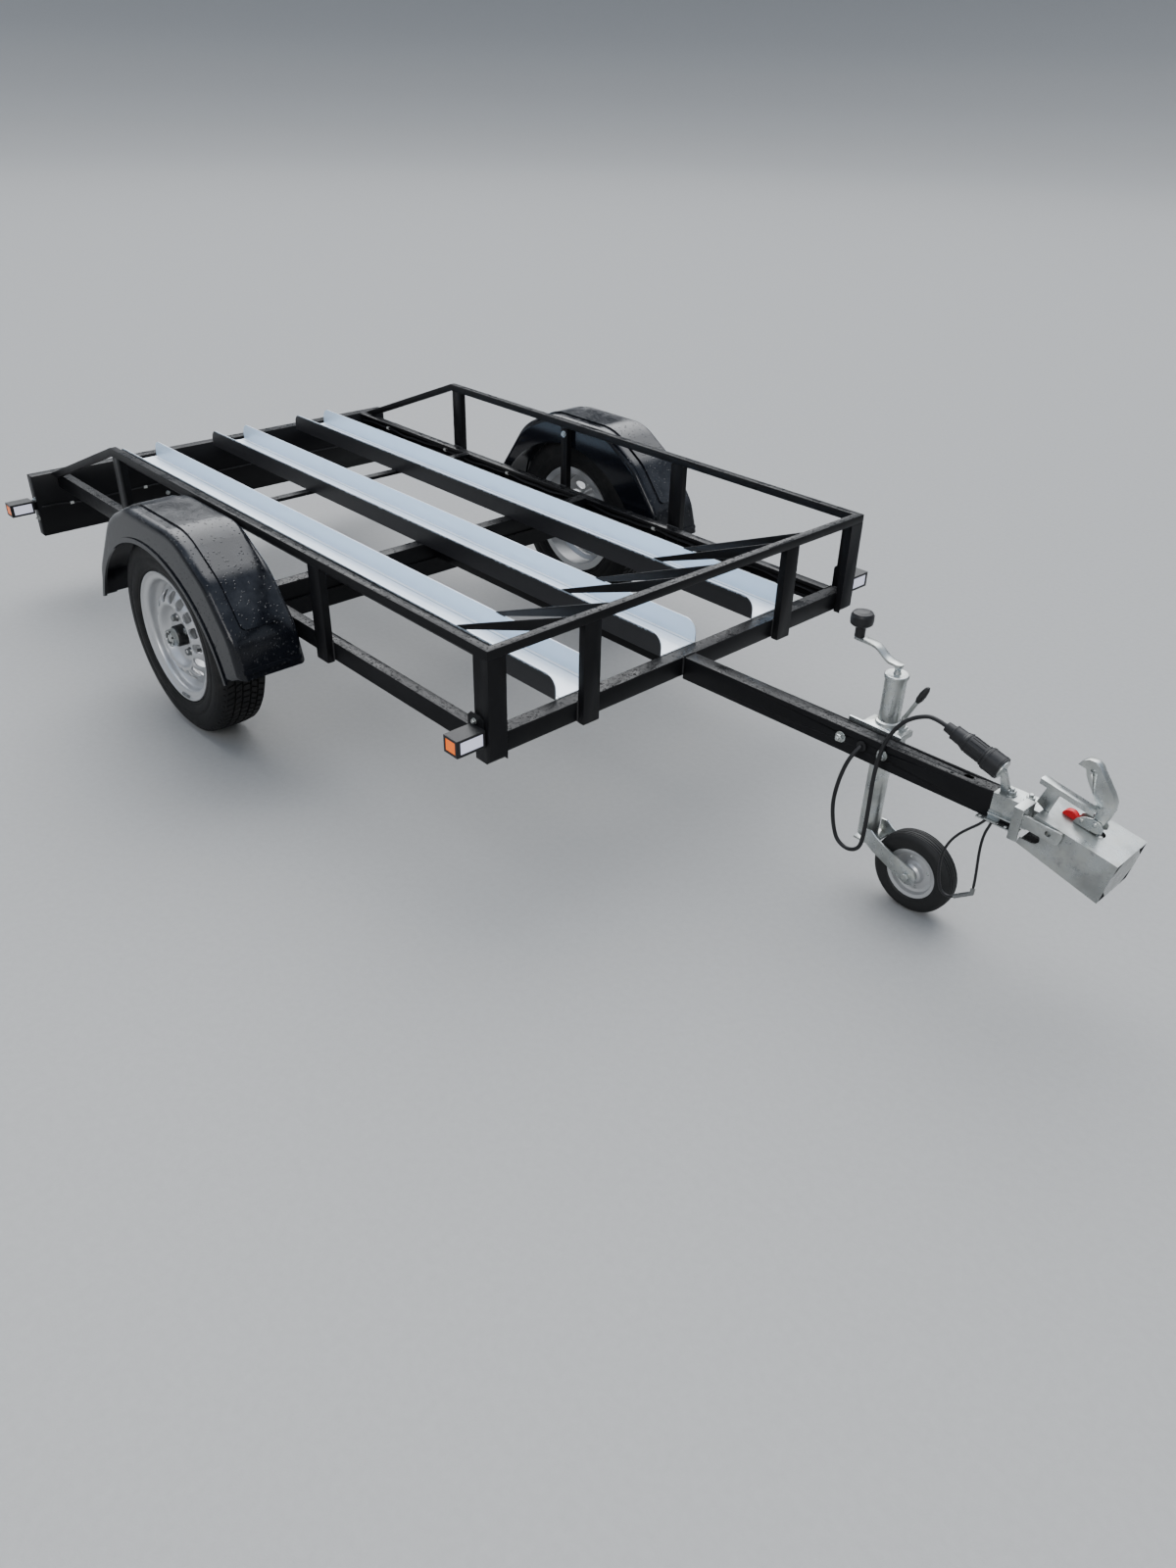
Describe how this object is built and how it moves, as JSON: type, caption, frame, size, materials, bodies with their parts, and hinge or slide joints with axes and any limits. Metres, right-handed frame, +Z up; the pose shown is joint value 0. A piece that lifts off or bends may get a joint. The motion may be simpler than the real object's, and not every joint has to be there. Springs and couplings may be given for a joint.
{
  "type": "motorcycle trailer",
  "caption": "Single-axle motorcycle trailer: black ladder frame with three galvanised wheel channels, guard rail, mudguards, light board, jockey wheel and ball coupling",
  "frame": {"origin": "On the floor under the middle of the trailer's bounding box, lighting and safety cables left out", "axes": "+X forward to the coupling, +Y to the trailer's left, +Z up"},
  "size_m": [3.562, 1.6866, 0.662],
  "materials": {
    "frame_paint": "satin black paint, chipped and dusty",
    "galvanised": "bare galvanised sheet",
    "zinc": "zinc plated",
    "rim_paint": "silver paint",
    "hub_paint": "black paint",
    "tyre": "matt",
    "jockey_rubber": "matt",
    "guard_plastic": "semi-gloss black",
    "black_plastic": "matt",
    "cable_sheath": "matt",
    "amber_lens": "clear coloured",
    "white_lens": "clear coloured",
    "red_lens": "clear coloured"
  },
  "bodies": {
    "trailer_frame": {"anchor_strap": "zinc", "axle_arm_left": "frame_paint", "axle_arm_right": "frame_paint", "axle_beam": "frame_paint", "cable_grommet": "black_plastic", "channel_centre": "galvanised", "channel_left": "galvanised", "channel_right": "galvanised", "clamp_handle": "zinc", "corner_posts": "frame_paint", "coupling_handle": "zinc", "coupling_head": "zinc", "crossmember_front": "frame_paint", "crossmember_middle": "frame_paint", "crossmember_rear": "frame_paint", "drawbar": "frame_paint", "guard_rail": "frame_paint", "jockey_clamp": "zinc", "light_board": "frame_paint", "light_cable": "cable_sheath", "lock_box": "zinc", "lock_bracket": "zinc", "lock_strip": "zinc", "marker_brackets": "frame_paint", "marker_lamps_front": "black_plastic", "marker_lamps_rear": "black_plastic", "marker_lenses_amber": "amber_lens", "marker_lenses_red": "red_lens", "marker_lenses_white": "white_lens", "mudguard_left": "guard_plastic", "mudguard_right": "guard_plastic", "mudguard_stays": "frame_paint", "plug": "black_plastic", "plug_holder": "zinc", "posts_left": "frame_paint", "posts_right": "frame_paint", "rear_lamps": "black_plastic", "rear_lenses": "red_lens", "safety_anchor": "zinc", "safety_cable": "cable_sheath", "safety_cable_return": "cable_sheath", "safety_clip": "zinc", "side_rail_left": "frame_paint", "side_rail_right": "frame_paint", "spine": "frame_paint", "wheel_stops": "frame_paint"},
    "wheel_right": {"rim_right": "rim_paint", "tyre_right": "tyre", "hub_right": "hub_paint"},
    "wheel_left": {"rim_left": "rim_paint", "tyre_left": "tyre", "hub_left": "hub_paint"},
    "jockey_post": {"jockey_tube": "zinc", "crank": "zinc", "crank_knob": "black_plastic"},
    "jockey_leg": {"jockey_leg": "zinc"},
    "jockey_fork": {"jockey_fork": "zinc"},
    "jockey_wheel": {"jockey_rim": "rim_paint", "jockey_tyre": "jockey_rubber"}
  },
  "joints": [
    {"name": "wheel_right_spin", "type": "hinge", "parent": "trailer_frame", "child": "wheel_right", "pos_m": [-0.529, -0.745, 0.281], "axis": [0, 1, 0], "continuous": true},
    {"name": "wheel_left_spin", "type": "hinge", "parent": "trailer_frame", "child": "wheel_left", "pos_m": [-0.529, 0.745, 0.281], "axis": [0, 1, 0], "continuous": true},
    {"name": "jockey_clamp_slide", "type": "slide", "parent": "trailer_frame", "child": "jockey_post", "axis": [0, 0, 1], "range_m": [0, 0.12]},
    {"name": "jockey_leg_slide", "type": "slide", "parent": "jockey_post", "child": "jockey_leg", "axis": [0, 0, -1], "range_m": [0, 0.18]},
    {"name": "jockey_swivel", "type": "hinge", "parent": "jockey_leg", "child": "jockey_fork", "pos_m": [1.191, 0.06, 0.13], "axis": [0, 0, 1], "range_deg": [-30, 200]},
    {"name": "jockey_wheel_spin", "type": "hinge", "parent": "jockey_fork", "child": "jockey_wheel", "pos_m": [1.329, 0.06, 0.1], "axis": [0, 1, 0], "continuous": true}
  ]
}
